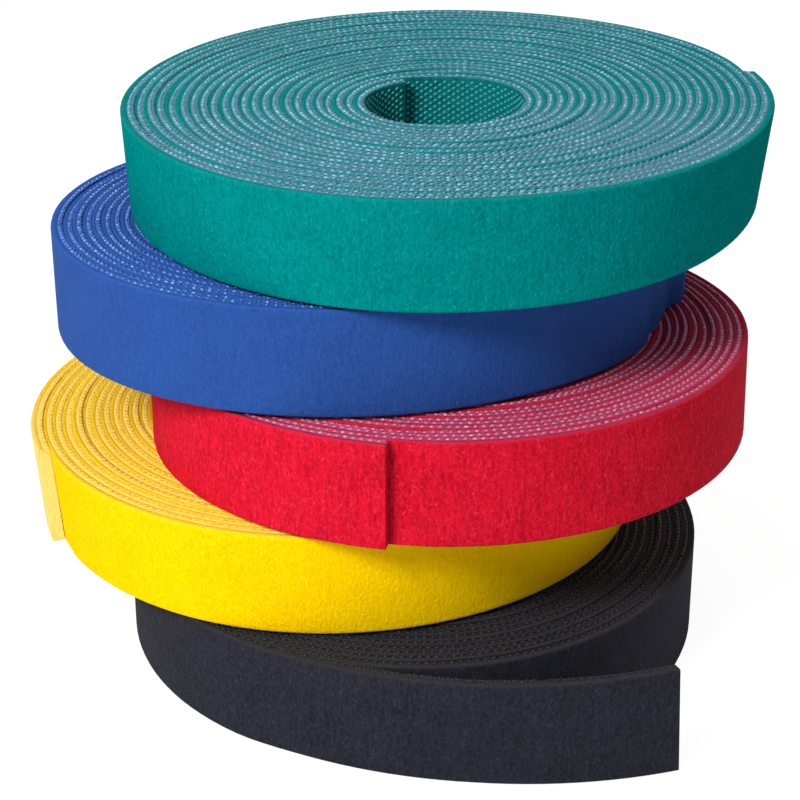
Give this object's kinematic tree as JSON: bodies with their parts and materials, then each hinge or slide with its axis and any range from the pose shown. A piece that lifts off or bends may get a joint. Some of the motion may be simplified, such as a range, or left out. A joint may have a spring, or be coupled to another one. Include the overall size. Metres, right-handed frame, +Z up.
{
  "type": "hook and loop tape roll",
  "caption": "Stack of tape rolls in different colours, each wound from a hook web and a loop web bonded back to back, with bare bores and free ends that peel open.",
  "frame": {"origin": "middle of the stack's outer box, on the surface that it stands on", "axes": "+Z up, along every roll's winding axis; the black roll's loose end crosses the front, on the -Y side, towards +X"},
  "size_m": [0.1114, 0.112, 0.0812],
  "materials": {
    "black_loop_web": "short brushed pile of loops",
    "black_hook_web": "woven web with rows of small hooks",
    "yellow_loop_web": "short brushed pile of loops",
    "yellow_hook_web": "woven web with rows of small hooks",
    "red_loop_web": "short brushed pile of loops",
    "red_hook_web": "woven web with rows of small hooks",
    "blue_loop_web": "short brushed pile of loops",
    "blue_hook_web": "woven web with rows of small hooks",
    "green_loop_web": "short brushed pile of loops",
    "green_hook_web": "woven web with rows of small hooks"
  },
  "bodies": {
    "black_roll": {"black_inner_turns": "black_loop_web", "black_outer_turns": "black_loop_web"},
    "black_end_root": {"black_loose_end_root_loop_side": "black_loop_web", "black_loose_end_root_hook_side": "black_hook_web"},
    "black_end_middle": {"black_loose_end_middle_loop_side": "black_loop_web", "black_loose_end_middle_hook_side": "black_hook_web"},
    "black_end_tip": {"black_loose_end_tip_loop_side": "black_loop_web", "black_loose_end_tip_hook_side": "black_hook_web"},
    "yellow_roll": {"yellow_inner_turns": "yellow_loop_web", "yellow_outer_turns": "yellow_loop_web"},
    "yellow_end": {"yellow_free_end_loop_side": "yellow_loop_web", "yellow_free_end_hook_side": "yellow_hook_web"},
    "red_roll": {"red_inner_turns": "red_loop_web", "red_outer_turns": "red_loop_web"},
    "red_end": {"red_free_end_loop_side": "red_loop_web", "red_free_end_hook_side": "red_hook_web"},
    "blue_roll": {"blue_inner_turns": "blue_loop_web", "blue_outer_turns": "blue_loop_web"},
    "blue_end": {"blue_free_end_loop_side": "blue_loop_web", "blue_free_end_hook_side": "blue_hook_web"},
    "green_roll": {"green_turns": "green_loop_web"},
    "green_end": {"green_free_end_loop_side": "green_loop_web", "green_free_end_hook_side": "green_hook_web"}
  },
  "joints": [
    {"name": "black_end_root_bend", "type": "hinge", "parent": "black_roll", "child": "black_end_root", "pos_m": [-0.01655, -0.0471, 0.008], "axis": [0, 0, -1], "range_deg": [-6, 45]},
    {"name": "black_end_middle_bend", "type": "hinge", "parent": "black_end_root", "child": "black_end_middle", "pos_m": [0.0013, -0.0542, 0.008], "axis": [0, 0, -1], "range_deg": [-9, 40]},
    {"name": "black_end_tip_bend", "type": "hinge", "parent": "black_end_middle", "child": "black_end_tip", "pos_m": [0.02044, -0.0559, 0.008], "axis": [0, 0, -1], "range_deg": [-10, 40]},
    {"name": "yellow_lift", "type": "slide", "parent": "black_roll", "child": "yellow_roll", "axis": [0, 0, 1], "range_m": [0, 0.04]},
    {"name": "yellow_end_peel", "type": "hinge", "parent": "yellow_roll", "child": "yellow_end", "pos_m": [-0.05553, 0.00616, 0.0243], "axis": [0, 0, -1], "range_deg": [0, 60]},
    {"name": "red_lift", "type": "slide", "parent": "yellow_roll", "child": "red_roll", "axis": [0, 0, 1], "range_m": [0, 0.04]},
    {"name": "red_end_peel", "type": "hinge", "parent": "red_roll", "child": "red_end", "pos_m": [-0.02082, -0.03923, 0.0406], "axis": [0, 0, -1], "range_deg": [0, 60]},
    {"name": "blue_lift", "type": "slide", "parent": "red_roll", "child": "blue_roll", "axis": [0, 0, 1], "range_m": [0, 0.04]},
    {"name": "blue_end_peel", "type": "hinge", "parent": "blue_roll", "child": "blue_end", "pos_m": [0.02136, -0.03189, 0.0569], "axis": [0, 0, -1], "range_deg": [0, 60]},
    {"name": "green_lift", "type": "slide", "parent": "blue_roll", "child": "green_roll", "axis": [0, 0, 1], "range_m": [0, 0.04]},
    {"name": "green_end_peel", "type": "hinge", "parent": "green_roll", "child": "green_end", "pos_m": [0.0539, -0.00503, 0.0732], "axis": [0, 0, -1], "range_deg": [0, 60]}
  ]
}
